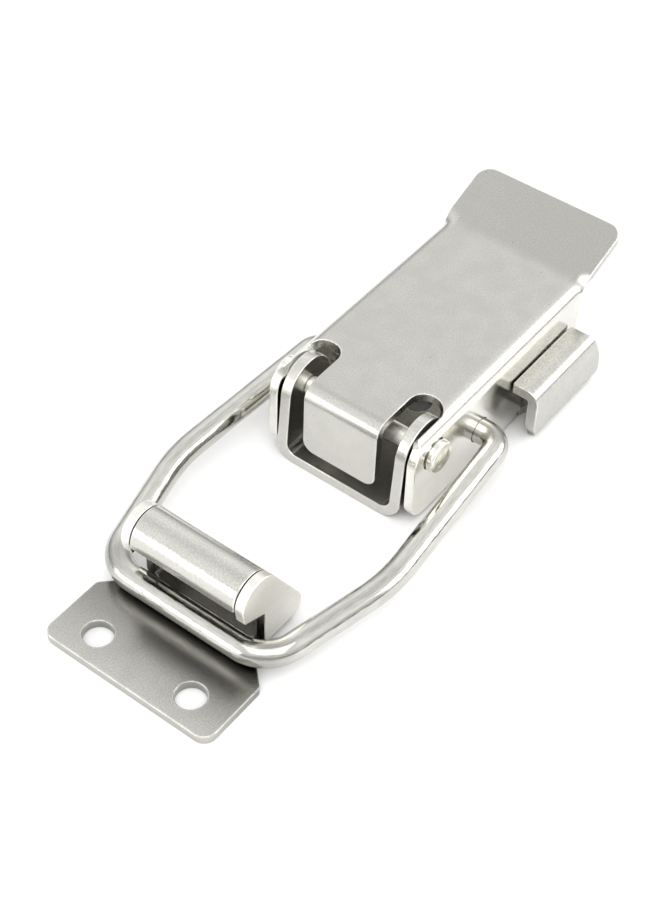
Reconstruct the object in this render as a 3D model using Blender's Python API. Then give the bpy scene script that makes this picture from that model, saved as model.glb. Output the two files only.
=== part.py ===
"""Toggle bolt latch in polished stainless steel.

A channel frame carries an over-centre lever on a through rivet. A bent wire bail is
hinged in the lever's cheeks, behind the rivet, and drops into the mouth of a separate
hooked keeper. The latch is modelled closed.

+X runs from the keeper to the lever's tail, +Z away from the mounting surface. The
origin is on the mounting surface, straight below the lever's pivot axis.
All constants are in millimetres; meshes are built in metres.
"""
import math

import bmesh
import bpy
from mathutils import Matrix, Vector

MM = 0.001
ARC_STEP = 9.0          # degrees of bend for each facet of a rounded corner
SPARE = 1.0             # how far a cutter or a blank runs past what it trims
OVERLAP = 3.0           # how far two blanks of one sheet run into each other
SKIN = 0.01             # how far a cutter clears a face that stays whole
BORE_REACH = 20.0       # half the length of a cutter through both side walls
RIVET_FACETS = 48
SHARP_ANGLE = 30.0      # edges sharper than this stay crisp when shaded

# ---- frame: channel with two pivot ears ----
FRAME_SHEET = 1.8
FRAME_HALF = 11.3       # half the width over the two ears
FRAME_BEND = 3.4        # outside radius where an ear leaves the base
FRAME_FRONT = -5.8
FRAME_REAR = 39.2
EAR_TOP_RADIUS = 4.9
EAR_REAR = 9.0          # where the ears end along the base
EAR_FOOT = 2.4          # height of the ears' rear foot
RELIEF_WIDTH = 1.2      # bend relief between an ear and the full-width base
BASE_CORNER = 3.0
SCREW_HOLE = 2.25       # radius
FRAME_SCREWS = (15.5, 31.5)

# ---- guard: part of the frame, folded up and inward beside the lever's wall ----
GUARD_FRONT = 20.3
GUARD_FLOOR_FRONT = 24.3
GUARD_TOP_REAR = 36.4
GUARD_REAR = 39.0
GUARD_BELLY = 5.5       # height where the rear edge starts to lean forward
GUARD_BELLY_ROUND = 2.0
GUARD_HEEL = 3.0        # radius of the lower rear corner
GUARD_HEEL_OUT = 0.4    # how far that corner stands behind the belly
GUARD_HEIGHT = 10.2
GUARD_OUTER = 18.2      # distance of its outer face from the centre line
GUARD_BEND = 2.2
GUARD_CORNER = 4.0      # radius of the lower front corner
GUARD_LIP_GAP = 0.3     # between the inner lip and the lever's wall
GUARD_RELIEF = 2.0      # radius of the half-round relief in the floor's front edge
GUARD_RELIEF_Y = -15.3
GUARD_FOLD_START = 17.1  # where the floor's front notch ends, measured like GUARD_OUTER

# ---- pivot rivet ----
PIVOT_HEIGHT = 11.4
RIVET_RADIUS = 1.5
RIVET_HEAD = 2.65
RIVET_HEAD_DEPTH = 1.05
RIVET_EDGE = 0.45       # rounding of the head's rim
RUNNING_GAP = 0.1       # radial clearance of a shaft in its hole
SIDE_GAP = 0.2          # clearance beside a sheet

# ---- lever: inverted channel with a front tongue and a turned-up tail ----
LEVER_SHEET = 1.5
LEVER_HALF = 13.25
LEVER_TOP = 16.5
LEVER_BEND = 2.6
LEVER_FRONT = -5.1
CHEEK_BOTTOM = 0.6
CHEEK_END = 23.0        # rear end of the deep cheeks
CHEEK_CORNER = 3.5      # radius of a cheek's lower front corner
SKIRT_BOTTOM = 3.0      # lower edge of the shallower side walls behind the cheeks
SKIRT_STEP = 25.2       # where the step up from cheek to side wall is complete
STEP_CORNER = 1.5       # radii at both ends of that step
SLOT_END = 5.1          # rear end of the two slots that clear the ears
SLOT_OUTER = 11.65
TONGUE_HALF = 6.6
TONGUE_FRONT = -5.4
TONGUE_BOTTOM = 4.0
TONGUE_CORNER = 2.0
TAIL_END = 51.2
TAIL_RISE = 4.2
TAIL_FOLD = 8.0         # radius of the fold at the tail
TAIL_FOLD_SHIFT = 0.4   # the fold line lies this far behind the side walls
TAIL_CORNER = 2.6
TAIL_BLANK = 10.0       # spare height above and below the tail for its plan outline

# ---- bail: round wire ----
WIRE_RADIUS = 2.0
HINGE_X = 12.2
HINGE_HEIGHT = 6.6
BAIL_END_X = -40.1      # centre of the wire across the closed end
BAIL_END_HEIGHT = 4.15
BAIL_HINGE_HALF = 17.2  # half widths between wire centres
BAIL_KINK_HALF = 19.4
BAIL_END_HALF = 14.2
BAIL_KINK = 31.5        # distance of the kink from the hinge line, along the bail
BAIL_TIP = 10.2         # where the wire's ends stop, inside the cheeks
HINGE_BEND = 3.0
KINK_BEND = 9.0
END_BEND = 6.0
WIRE_SIDES = 6          # bevel resolution of the wire's section

# ---- keeper: screw plate with a hook of two ears and a curled tongue.
# ---- x values here are measured from its front edge
KEEPER_SHEET = 1.5
KEEPER_FRONT = -53.4
KEEPER_HALF = 14.8
KEEPER_PLATE = 11.2     # length of the full-width plate
KEEPER_CORNER = 2.0
SHOULDER_CORNER = 1.0   # radii at both ends of the bevel from the plate to the neck
NECK_CORNER = 0.5
NECK_HALF = 10.75
KEEPER_BEND = 2.2
KEEPER_SCREW = (4.5, 8.35)
MOUTH = 17.3            # throat of the hook
MOUTH_TOP = 8.2
NOSE_BOTTOM = 9.9
NOSE_ROUND = 0.7
NOSE_SLANT = 0.4        # how far the nose's front edge leans back at its lower end
HOOK_HEEL_X = 21.8
HOOK_HEEL = 3.7         # outside radius at the foot of the hook's back
HOOK_CROWN = 3.7        # outside radius of the hook's rounded top
HOOK_CROWN_X = 16.4
HOOK_CROWN_HEIGHT = 12.2
CURL_HALF = 8.75
CURL_BOTTOM = 11.5


def arc(centre, radius, start, end):
    """Points along an arc, its angles in degrees."""
    steps = max(2, round(abs(end - start) / ARC_STEP))
    turns = [math.radians(start + (end - start) * i / steps) for i in range(steps + 1)]
    return [(centre[0] + radius * math.cos(t), centre[1] + radius * math.sin(t)) for t in turns]


def corner(before, point, after, radius):
    """A rounded corner between two straight runs, in two or three dimensions."""
    here = Vector(point)
    back = (Vector(before) - here).normalized()
    ahead = (Vector(after) - here).normalized()
    half = back.angle(ahead) / 2
    reach = radius / math.tan(half)
    centre = here + (back + ahead).normalized() * (radius / math.sin(half))
    start = here + back * reach - centre
    end = here + ahead * reach - centre
    sweep = math.pi - 2 * half
    steps = max(2, round(math.degrees(sweep) / ARC_STEP))
    points = []
    for i in range(steps + 1):
        t = i / steps
        blend = start * math.sin((1 - t) * sweep) + end * math.sin(t * sweep)
        points.append(tuple(centre + blend / math.sin(sweep)))
    return points


def rounded(corners, closed=True):
    """Turn (x, y[, z], radius) corners into an outline or a path with rounded corners."""
    points = []
    last = len(corners) - 1
    for i, (*place, radius) in enumerate(corners):
        if radius == 0 or (not closed and i in (0, last)):
            points.append(tuple(place))
            continue
        before = corners[i - 1][:-1]
        after = corners[(i + 1) % len(corners)][:-1]
        points.extend(corner(before, place, after, radius))
    return points


def link(obj):
    """Put a new object in the scene."""
    bpy.context.scene.collection.objects.link(obj)
    return obj


def closed_object(name, bm):
    """Turn a closed bmesh into an object, with its faces pointing out."""
    bmesh.ops.recalc_face_normals(bm, faces=bm.faces)
    mesh = bpy.data.meshes.new(name)
    bm.to_mesh(mesh)
    bm.free()
    return link(bpy.data.objects.new(name, mesh))


def skin_rings(bm, rings):
    """Cover a stack of equal rings with side faces, and close both ends."""
    bm.faces.new(rings[0])
    bm.faces.new(rings[-1])
    for low, high in zip(rings, rings[1:]):
        for i in range(len(low)):
            j = (i + 1) % len(low)
            bm.faces.new((low[i], low[j], high[j], high[i]))


def prism(name, outline, axis, low, high):
    """Extrude a closed outline along one axis.

    The outline's coordinates are (x, z) for axis Y, (y, z) for axis X and (x, y) for Z.
    """
    place = {
        "X": lambda a, b, c: (c, a, b),
        "Y": lambda a, b, c: (a, c, b),
        "Z": lambda a, b, c: (a, b, c),
    }[axis]
    bm = bmesh.new()
    rings = [[bm.verts.new(Vector(place(a, b, c)) * MM) for a, b in outline] for c in (low, high)]
    skin_rings(bm, rings)
    return closed_object(name, bm)


def turned(name, profile, height):
    """Turn an (along, radius) profile about a line along Y at a height, with flat ends."""
    turns = [2 * math.pi * k / RIVET_FACETS for k in range(RIVET_FACETS)]
    bm = bmesh.new()
    rings = []
    for along, radius in profile:
        ring = [(radius * math.cos(t), along, height + radius * math.sin(t)) for t in turns]
        rings.append([bm.verts.new(Vector(place) * MM) for place in ring])
    skin_rings(bm, rings)
    return closed_object(name, bm)


def combine(target, operation, tool):
    """Add a boolean to the target; the tool stays as a hidden guide."""
    tool.hide_render = True
    tool.display_type = "WIRE"
    modifier = target.modifiers.new(tool.name, "BOOLEAN")
    modifier.operation = operation
    modifier.solver = "EXACT"
    modifier.object = tool


def drill(target, name, axis, centre, radius, low, high):
    """Cut a round hole along one axis."""
    circle = arc(centre, radius, 0, 360)[:-1]
    combine(target, "DIFFERENCE", prism(name, circle, axis, low, high))


def steel(name, colour, roughness):
    """Bare stainless steel, as a metallic Principled BSDF."""
    material = bpy.data.materials.new(name)
    material.use_nodes = True
    shader = material.node_tree.nodes["Principled BSDF"]
    shader.inputs["Base Color"].default_value = (*colour, 1.0)
    shader.inputs["Metallic"].default_value = 1.0
    shader.inputs["Roughness"].default_value = roughness
    return material


def finish(obj, material, origin):
    """Give a part its steel, smooth its round faces and put its origin in place."""
    obj.data.materials.append(material)
    if obj.type == "MESH":
        obj.data.shade_smooth()
        obj.data.set_sharp_from_angle(angle=math.radians(SHARP_ANGLE))
    shift = Vector(origin) * MM
    obj.data.transform(Matrix.Translation(-shift))
    obj.location = shift


def channel(name, half, sheet, bend, web, rim, start, end):
    """A U-shaped sheet channel along X, from the outside of its web to its rims."""
    inner_web = web + math.copysign(sheet, rim - web)
    outline = rounded([
        (-half, rim, 0), (-half, web, bend), (half, web, bend), (half, rim, 0),
        (half - sheet, rim, 0), (half - sheet, inner_web, bend - sheet),
        (-half + sheet, inner_web, bend - sheet), (-half + sheet, rim, 0),
    ])
    return prism(name, outline, "X", start, end)


def tangent_angle(point, centre, radius, side):
    """Direction from a circle's centre to where a line from a point touches it.

    The side is +1 or -1, for the two lines that there are.
    """
    away = Vector(point) - Vector(centre)
    swing = math.acos(radius / away.length)
    return math.degrees(math.atan2(away.y, away.x) + side * swing)


def ear_outline():
    """Side view of a frame ear: round top, straight front, sloping back."""
    top = (0, PIVOT_HEIGHT)
    front = (FRAME_FRONT, 0)
    foot = (EAR_REAR, EAR_FOOT)
    first = tangent_angle(foot, top, EAR_TOP_RADIUS, 1)
    last = tangent_angle(front, top, EAR_TOP_RADIUS, -1) % 360
    bottom = [(FRAME_FRONT, -SPARE), (EAR_REAR, -SPARE), foot]
    return bottom + arc(top, EAR_TOP_RADIUS, first, last) + [front]


def base_plate():
    """The full-width base behind the ears, running on between them."""
    flat = FRAME_HALF - FRAME_BEND
    start = EAR_REAR + RELIEF_WIDTH
    half = [(EAR_REAR - OVERLAP, flat, 0), (start, flat, 0), (start, FRAME_HALF, 0),
            (FRAME_REAR, FRAME_HALF, BASE_CORNER)]
    mirrored = [(x, -y, bend) for x, y, bend in reversed(half)]
    return prism("base_plate", rounded(half + mirrored), "Z", 0, FRAME_SHEET)


def guard_side():
    """Side view of the guard, its rear edge swept out at the heel and back in at the top."""
    top = GUARD_HEIGHT + SKIN
    return rounded([
        (GUARD_FRONT, -SKIN, GUARD_CORNER), (GUARD_REAR + GUARD_HEEL_OUT, -SKIN, GUARD_HEEL),
        (GUARD_REAR, GUARD_BELLY, GUARD_BELLY_ROUND), (GUARD_TOP_REAR, top, 0),
        (GUARD_FRONT, top, 0),
    ])


def guard_blank():
    """The guard: a floor beside the base, folded up and then inward over the floor."""
    sheet, height, inner = FRAME_SHEET, GUARD_HEIGHT, GUARD_BEND - FRAME_SHEET
    lip = -(LEVER_HALF + GUARD_LIP_GAP)
    root = OVERLAP - FRAME_HALF
    section = rounded([
        (root, 0, 0), (-GUARD_OUTER, 0, GUARD_BEND), (-GUARD_OUTER, height, GUARD_BEND),
        (lip, height, 0), (lip, height - sheet, 0), (sheet - GUARD_OUTER, height - sheet, inner),
        (sheet - GUARD_OUTER, sheet, inner), (root, sheet, 0),
    ])
    blank = prism("guard_blank", section, "X", GUARD_FRONT, GUARD_REAR + SPARE)
    outer = -GUARD_OUTER - SPARE
    combine(blank, "INTERSECT", prism("guard_side", guard_side(), "Y", outer, 0))
    front = GUARD_FRONT - SPARE
    notch = [(front, -GUARD_FOLD_START), (GUARD_FLOOR_FRONT, -GUARD_FOLD_START),
             (GUARD_FLOOR_FRONT, 0), (front, 0)]
    combine(blank, "DIFFERENCE", prism("floor_notch", notch, "Z", -SPARE, sheet + SPARE))
    relief = (GUARD_FLOOR_FRONT, GUARD_RELIEF_Y)
    drill(blank, "floor_relief", "Z", relief, GUARD_RELIEF, -SPARE, sheet + SPARE)
    return blank


def make_frame():
    """Base plate, two ears and the guard, cut from one sheet."""
    frame = channel("frame", FRAME_HALF, FRAME_SHEET, FRAME_BEND, 0, LEVER_TOP, FRAME_FRONT, EAR_REAR)
    reach = FRAME_HALF + SPARE
    combine(frame, "INTERSECT", prism("ear_side", ear_outline(), "Y", -reach, reach))
    combine(frame, "UNION", base_plate())
    combine(frame, "UNION", guard_blank())
    for index, x in enumerate(FRAME_SCREWS):
        drill(frame, f"frame_screw_{index}", "Z", (x, 0), SCREW_HOLE, -SPARE, FRAME_SHEET + SPARE)
    bore = RIVET_RADIUS + RUNNING_GAP
    drill(frame, "frame_bore", "Y", (0, PIVOT_HEIGHT), bore, -BORE_REACH, BORE_REACH)
    finish(frame, steel("frame_steel", (0.62, 0.61, 0.58), 0.22), (0, 0, 0))


def make_rivet():
    """A through rivet with the same low head on both cheeks."""
    seat = LEVER_HALF + SIDE_GAP
    rim = seat + RIVET_HEAD_DEPTH - RIVET_EDGE
    half = [(seat, RIVET_RADIUS), (seat, RIVET_HEAD)]
    half += arc((rim, RIVET_HEAD - RIVET_EDGE), RIVET_EDGE, 90, 0)
    profile = [(-along, radius) for along, radius in reversed(half)] + half
    turned("pivot_rivet", profile, PIVOT_HEIGHT)
    rivet = bpy.data.objects["pivot_rivet"]
    finish(rivet, steel("rivet_steel", (0.60, 0.59, 0.57), 0.25), (0, 0, PIVOT_HEIGHT))


def lever_side():
    """Side view of a lever wall: round front over the pivot, deep cheek, shallower skirt."""
    above = LEVER_TOP + SPARE
    lower = rounded([
        (LEVER_FRONT, PIVOT_HEIGHT, 0), (LEVER_FRONT, CHEEK_BOTTOM, CHEEK_CORNER),
        (CHEEK_END, CHEEK_BOTTOM, STEP_CORNER), (SKIRT_STEP, SKIRT_BOTTOM, STEP_CORNER),
        (FRAME_REAR, SKIRT_BOTTOM, 0), (FRAME_REAR, above, 0), (0, above, 0),
    ])
    return lower + arc((0, PIVOT_HEIGHT), -LEVER_FRONT, 90, 180)[:-1]


def lever_tongue():
    """The middle of the lever's top, bent down in front of the rivet."""
    root = SLOT_END + SPARE
    back = TONGUE_FRONT + LEVER_SHEET
    under = LEVER_TOP - LEVER_SHEET
    side = rounded([
        (root, LEVER_TOP, 0), (TONGUE_FRONT, LEVER_TOP, LEVER_BEND),
        (TONGUE_FRONT, TONGUE_BOTTOM, 0), (back, TONGUE_BOTTOM, 0),
        (back, under, LEVER_BEND - LEVER_SHEET), (root, under, 0),
    ])
    tongue = prism("tongue_blank", side, "Y", -TONGUE_HALF, TONGUE_HALF)
    above = LEVER_TOP + SPARE
    front = rounded([
        (-TONGUE_HALF, TONGUE_BOTTOM, TONGUE_CORNER), (TONGUE_HALF, TONGUE_BOTTOM, TONGUE_CORNER),
        (TONGUE_HALF, above, 0), (-TONGUE_HALF, above, 0),
    ])
    cutter = prism("tongue_front", front, "X", TONGUE_FRONT - SPARE, root + SPARE)
    combine(tongue, "INTERSECT", cutter)
    return tongue


def lever_tail():
    """The flat finger tab behind the fold, bent slightly up."""
    root = FRAME_REAR - OVERLAP
    slope = math.atan2(TAIL_RISE, TAIL_END - FRAME_REAR)
    fold = Vector((FRAME_REAR + TAIL_FOLD_SHIFT, LEVER_TOP))
    end = Vector((TAIL_END, LEVER_TOP + TAIL_RISE))
    low_end = end + Vector((math.sin(slope), -math.cos(slope))) * LEVER_SHEET
    low_fold = fold + Vector((math.tan(slope / 2), -1)) * LEVER_SHEET
    side = rounded([
        (root, LEVER_TOP, 0), (*fold, TAIL_FOLD), (*end, 0),
        (*low_end, 0), (*low_fold, TAIL_FOLD + LEVER_SHEET), (root, LEVER_TOP - LEVER_SHEET, 0),
    ])
    tail = prism("tail_blank", side, "Y", -LEVER_HALF, LEVER_HALF)
    inset = LEVER_HALF - LEVER_BEND
    half = [(root - SPARE, inset, 0), (FRAME_REAR, inset, 0), (FRAME_REAR, LEVER_HALF, 0),
            (TAIL_END + TAIL_FOLD_SHIFT, LEVER_HALF, TAIL_CORNER)]
    mirrored = [(x, -y, bend) for x, y, bend in reversed(half)]
    low, high = LEVER_TOP - TAIL_BLANK, LEVER_TOP + TAIL_BLANK
    plan = prism("tail_plan", rounded(half + mirrored), "Z", low, high)
    combine(tail, "INTERSECT", plan)
    return tail


def cut_slots(lever):
    """Two open slots with round ends in the lever's top, where the ears stand through it."""
    start = LEVER_FRONT - OVERLAP
    end_radius = (SLOT_OUTER - TONGUE_HALF) / 2 - SKIN
    for side in (-1, 1):
        inner, outer = side * TONGUE_HALF, side * SLOT_OUTER
        slot = rounded([(start, inner, 0), (SLOT_END, inner, end_radius),
                        (SLOT_END, outer, end_radius), (start, outer, 0)])
        low = LEVER_TOP - LEVER_BEND - SPARE
        combine(lever, "DIFFERENCE", prism(f"ear_slot_{side + 1}", slot, "Z", low, LEVER_TOP + SPARE))


def make_lever():
    """Inverted channel, tongue and tail in one sheet, with its slots and holes."""
    start = LEVER_FRONT - SPARE
    lever = channel("lever", LEVER_HALF, LEVER_SHEET, LEVER_BEND, LEVER_TOP, 0, start, FRAME_REAR)
    reach = LEVER_HALF + SPARE
    combine(lever, "INTERSECT", prism("lever_side", lever_side(), "Y", -reach, reach))
    cut_slots(lever)
    combine(lever, "UNION", lever_tongue())
    combine(lever, "UNION", lever_tail())
    bores = (("lever_bore", (0, PIVOT_HEIGHT), RIVET_RADIUS),
             ("bail_bore", (HINGE_X, HINGE_HEIGHT), WIRE_RADIUS))
    for name, centre, radius in bores:
        drill(lever, name, "Y", centre, radius + RUNNING_GAP, -BORE_REACH, BORE_REACH)
    finish(lever, steel("lever_steel", (0.60, 0.58, 0.55), 0.24), (0, 0, PIVOT_HEIGHT))


def bail_route():
    """Points along the bail's centre line, from one end to the other."""
    start = Vector((HINGE_X, 0, HINGE_HEIGHT))
    end = Vector((BAIL_END_X, 0, BAIL_END_HEIGHT))
    kink = start + (end - start).normalized() * BAIL_KINK
    side = [(start, BAIL_TIP, 0), (start, BAIL_HINGE_HALF, HINGE_BEND),
            (kink, BAIL_KINK_HALF, KINK_BEND), (end, BAIL_END_HALF, END_BEND)]
    left = [(point.x, half, point.z, bend) for point, half, bend in side]
    right = [(x, -y, z, bend) for x, y, z, bend in reversed(left)]
    return rounded(left + right, closed=False)


def make_bail():
    """The wire, swept along its centre line."""
    route = bail_route()
    curve = bpy.data.curves.new("bail", "CURVE")
    curve.dimensions = "3D"
    curve.bevel_depth = WIRE_RADIUS * MM
    curve.bevel_resolution = WIRE_SIDES
    curve.use_fill_caps = True
    spline = curve.splines.new("POLY")
    spline.points.add(len(route) - 1)
    for point, place in zip(spline.points, route):
        point.co = (*(Vector(place) * MM), 1)
    bail = link(bpy.data.objects.new("bail", curve))
    finish(bail, steel("bail_steel", (0.66, 0.65, 0.62), 0.12), (HINGE_X, 0, HINGE_HEIGHT))


def hook_profile(inset, front_height):
    """Side view of the hook: heel, sloping back, crown and front, offset inward."""
    heel, crown = (HOOK_HEEL_X, HOOK_HEEL), (HOOK_CROWN_X, HOOK_CROWN_HEIGHT)
    along = Vector(crown) - Vector(heel)
    normal = math.degrees(math.atan2(along.y, along.x)) - 90
    back = arc(heel, HOOK_HEEL - inset, -90, normal) + arc(crown, HOOK_CROWN - inset, normal, 180)
    return back + [(HOOK_CROWN_X - HOOK_CROWN + inset, front_height)]


def shifted(outline):
    """Move an outline measured from the keeper's front edge into place."""
    return [(x + KEEPER_FRONT, z) for x, z in outline]


def keeper_curl():
    """The sheet that rises at the back and curls forward between the hook's ears."""
    outer = hook_profile(0, CURL_BOTTOM)
    inner = hook_profile(KEEPER_SHEET, CURL_BOTTOM)
    start = MOUTH + SPARE
    outline = [(start, 0)] + outer + inner[::-1] + [(start, KEEPER_SHEET)]
    return prism("curl_blank", shifted(outline), "Y", -CURL_HALF, CURL_HALF)


def keeper_ears():
    """Two hook-shaped side ears, folded up from the neck."""
    start = KEEPER_FRONT + HOOK_CROWN_X - HOOK_CROWN - SPARE
    end = KEEPER_FRONT + HOOK_HEEL_X + HOOK_HEEL + SPARE
    rim = HOOK_CROWN_HEIGHT + HOOK_CROWN + SPARE
    ears = channel("ear_blank", NECK_HALF, KEEPER_SHEET, KEEPER_BEND, 0, rim, start, end)
    outer = hook_profile(0, NOSE_BOTTOM + SPARE)
    front = outer[-1]
    nose = rounded([(*front, 0), (front[0] + NOSE_SLANT, NOSE_BOTTOM, NOSE_ROUND),
                    (MOUTH, MOUTH_TOP, 0)], closed=False)
    outline = shifted([(MOUTH, 0)] + outer[:-1] + nose)
    reach = NECK_HALF + SPARE
    combine(ears, "INTERSECT", prism("hook_side", outline, "Y", -reach, reach))
    return ears


def make_keeper():
    """Screw plate, neck, ears and curl in one sheet."""
    flat = NECK_HALF - KEEPER_BEND
    neck = KEEPER_PLATE + KEEPER_HALF - NECK_HALF
    half = [
        (0, KEEPER_HALF, KEEPER_CORNER), (KEEPER_PLATE, KEEPER_HALF, SHOULDER_CORNER),
        (neck, NECK_HALF, NECK_CORNER), (MOUTH, NECK_HALF, 0),
        (MOUTH, flat, 0), (MOUTH + OVERLAP, flat, 0),
    ]
    mirrored = [(x, -y, bend) for x, y, bend in reversed(half)]
    keeper = prism("keeper", shifted(rounded(half + mirrored)), "Z", 0, KEEPER_SHEET)
    combine(keeper, "UNION", keeper_ears())
    combine(keeper, "UNION", keeper_curl())
    hole_x, hole_y = KEEPER_SCREW
    for side in (-1, 1):
        centre = (KEEPER_FRONT + hole_x, side * hole_y)
        name = f"keeper_screw_{side + 1}"
        drill(keeper, name, "Z", centre, SCREW_HOLE, -SPARE, KEEPER_SHEET + SPARE)
    finish(keeper, steel("keeper_steel", (0.58, 0.57, 0.55), 0.32), (KEEPER_FRONT, 0, 0))


def main():
    for obj in list(bpy.data.objects):
        bpy.data.objects.remove(obj, do_unlink=True)
    make_frame()
    make_rivet()
    make_lever()
    make_bail()
    make_keeper()


main()
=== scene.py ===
"""Looks of a toggle latch: folded sheet, wire and rivet in finished stainless steel.

Each sheet part is cut flat, thickened with rounded rims and then folded, as the real one
is made. Sizes are in millimetres in the frame's own axes; meshes are built in metres.
"""
import math

import bpy
import numpy as np
from mathutils import Matrix, Vector
from mathutils.geometry import delaunay_2d_cdt


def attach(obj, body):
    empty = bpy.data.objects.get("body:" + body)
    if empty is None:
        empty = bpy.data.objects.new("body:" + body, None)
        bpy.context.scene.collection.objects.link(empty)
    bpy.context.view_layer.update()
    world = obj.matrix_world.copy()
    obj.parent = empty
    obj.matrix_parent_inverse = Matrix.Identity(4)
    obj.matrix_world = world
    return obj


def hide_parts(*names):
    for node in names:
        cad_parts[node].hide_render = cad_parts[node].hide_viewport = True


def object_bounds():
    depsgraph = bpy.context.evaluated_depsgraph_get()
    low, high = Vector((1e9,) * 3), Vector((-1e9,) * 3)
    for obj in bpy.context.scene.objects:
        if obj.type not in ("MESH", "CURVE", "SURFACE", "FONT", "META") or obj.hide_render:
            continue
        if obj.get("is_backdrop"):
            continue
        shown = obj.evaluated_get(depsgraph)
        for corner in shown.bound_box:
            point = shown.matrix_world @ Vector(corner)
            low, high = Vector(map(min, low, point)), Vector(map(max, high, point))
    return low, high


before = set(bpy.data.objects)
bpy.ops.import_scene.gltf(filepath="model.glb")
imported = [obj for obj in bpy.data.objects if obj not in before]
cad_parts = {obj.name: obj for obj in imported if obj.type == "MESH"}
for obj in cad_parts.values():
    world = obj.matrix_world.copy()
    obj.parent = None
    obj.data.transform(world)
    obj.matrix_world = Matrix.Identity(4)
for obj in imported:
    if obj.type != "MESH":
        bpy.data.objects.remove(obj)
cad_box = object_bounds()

MM = 0.001
FINE = 4.0              # degrees between points on rounded outlines
BEND_STEPS = 20         # mesh lines across a fold
RIM_STEPS = 4           # mesh lines around a rounded rim
RIM = 0.16              # radius of the rims that tumbling leaves on cut sheet
SMALL_CORNER = 0.4
SOFT_CORNER = 1.0
SLACK = 0.01            # keeps the two arcs of a round slot end from overlapping
BESIDE = 0.5            # past a part's edge and still inside the gap beside it
PAST = 1.0              # how far mesh lines run past an outline
NUDGE = 0.01            # step for slopes found by difference
MERGE = 1e-5            # points of a blank closer than this become one
SHARPEST = 0.3          # limits how far a mitre reaches at a sharp corner
HALVINGS = 40           # of the search for a coordinate along a fold
ROOT = 10.0             # flat place where the runs of the tongue, the tail and the curl start

# ---- frame ----
FRAME_SHEET = 1.8
FRAME_HALF = 11.3
FRAME_BEND = 3.4
FRAME_FRONT = -5.8
FRAME_REAR = 39.2
EAR_TOP_RADIUS = 4.9
EAR_REAR = 9.0
EAR_FOOT = 2.4
RELIEF_WIDTH = 1.2
RELIEF_CORNER = 0.55
BASE_CORNER = 3.0
SCREW_HOLE = 2.25
FRAME_SCREWS = (15.5, 31.5)

# ---- guard, folded from the frame's sheet ----
GUARD_FRONT = 20.3
GUARD_FLOOR_FRONT = 24.3
GUARD_FLOOR_REAR = 38.5
GUARD_TOP_REAR = 36.9
GUARD_REAR = 39.0
GUARD_BELLY = 5.5
GUARD_BELLY_ROUND = 2.0
GUARD_TOP_ROUND = 0.5
GUARD_HEEL = 3.0
GUARD_HEEL_X = 36.4     # centre of the rounded heel
GUARD_HEEL_START = -44  # degrees
GUARD_TOE_END = 230     # degrees
GUARD_HEIGHT = 10.2
GUARD_OUTER = 18.2
GUARD_BEND = 2.2
GUARD_CORNER = 4.0
GUARD_LIP = 13.45
GUARD_RELIEF = 2.0
GUARD_RELIEF_Y = 15.3

# ---- rivet ----
PIVOT_HEIGHT = 11.4
RIVET_RADIUS = 1.5
RIVET_HEAD = 2.65
RIVET_SEAT = 13.45
RIVET_END = 14.5
RIVET_EDGE = 0.3
DISH_DEPTH = 0.15       # shallow flat left in each head by the riveting tool
DISH_FLOOR = 1.4
DISH_RADIUS = 1.6
DISH_RIM = 1.75
HOLE_GAP = 0.1          # around the rivet and the wire in their holes

# ---- lever ----
LEVER_SHEET = 1.5
LEVER_HALF = 13.25
LEVER_TOP = 16.5
LEVER_BEND = 2.6
NOSE_RADIUS = 5.1       # round front of each cheek, about the pivot
CHEEK_BOTTOM = 0.6
CHEEK_END = 23.0
CHEEK_CORNER = 3.5
SKIRT_BOTTOM = 3.0
SKIRT_STEP = 25.2
STEP_CORNER = 1.5
WALL_REAR = 39.0
WALL_CORNER = 0.8
FLARE_END = 42.5        # where the side bends have opened out flat into the tail
SLOT_END = 5.1
SLOT_OUTER = 11.65
TONGUE_HALF = 6.6
TONGUE_FRONT = -5.4
TONGUE_BOTTOM = 4.0
TONGUE_CORNER = 2.0
TAIL_FOLD_X = 39.6
TAIL_END = 51.0
TAIL_SLOPE = 19.9       # degrees
TAIL_FOLD = 8.0
TAIL_CORNER = 2.6
TAIL_INSET = 0.05       # the tail is this much narrower than the walls, on each side
FLARE_STEP = 0.25
WALL_NOTCH = 0.5        # inner corner where a wall's rear edge meets the tail

# ---- bail ----
WIRE_RADIUS = 2.0
HINGE = (12.2, 6.6)
BAIL_END = (-40.1, 4.15)
BAIL_HINGE_HALF = 17.2
BAIL_KINK_HALF = 19.4
BAIL_END_HALF = 14.2
BAIL_KINK = 31.5        # distance of the kinks from the hinge line
BAIL_TIP = 10.2         # y of the wire's ends, inside the lever
HINGE_BEND = 3.0
KINK_BEND = 26.0
END_BEND = 6.0
TIP_ROUND = 0.5
WIRE_SIDES = 64

# ---- keeper, x from its front edge ----
KEEPER_SHEET = 1.5
KEEPER_FRONT = -53.4
KEEPER_HALF = 14.8
KEEPER_PLATE = 11.2
KEEPER_CORNER = 2.0
NECK_HALF = 10.75
NECK_END = 16.5
NECK_CORNER = 0.5
MOUTH_CORNER = 0.3
MOUTH_INSET = 0.2       # how far the mouth's slots reach in past the bends
KEEPER_BEND = 2.2
KEEPER_SCREW = (4.5, 8.35)
MOUTH = 17.3            # rear of the mouth that takes the wire
MOUTH_TOP = 8.2
NOSE_BOTTOM = 9.9
NOSE_ROUND = 0.7
NOSE_BACK = 0.4         # how far the nose's tip stands behind the front of the crown
HOOK_ROUND = 3.7        # outside radius of both the heel and the crown
HEEL_SHORT = 8          # degrees by which the ears' heels stop short of the plate
HOOK_HEEL_X = 21.8
HOOK_CROWN = (16.4, 12.2)
CURL_HALF = 8.6
ROLL_HALF = 9.1         # the curl is wider once it is above the ears' bends
ROLL_START = 5.0        # past the heel's start
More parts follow.
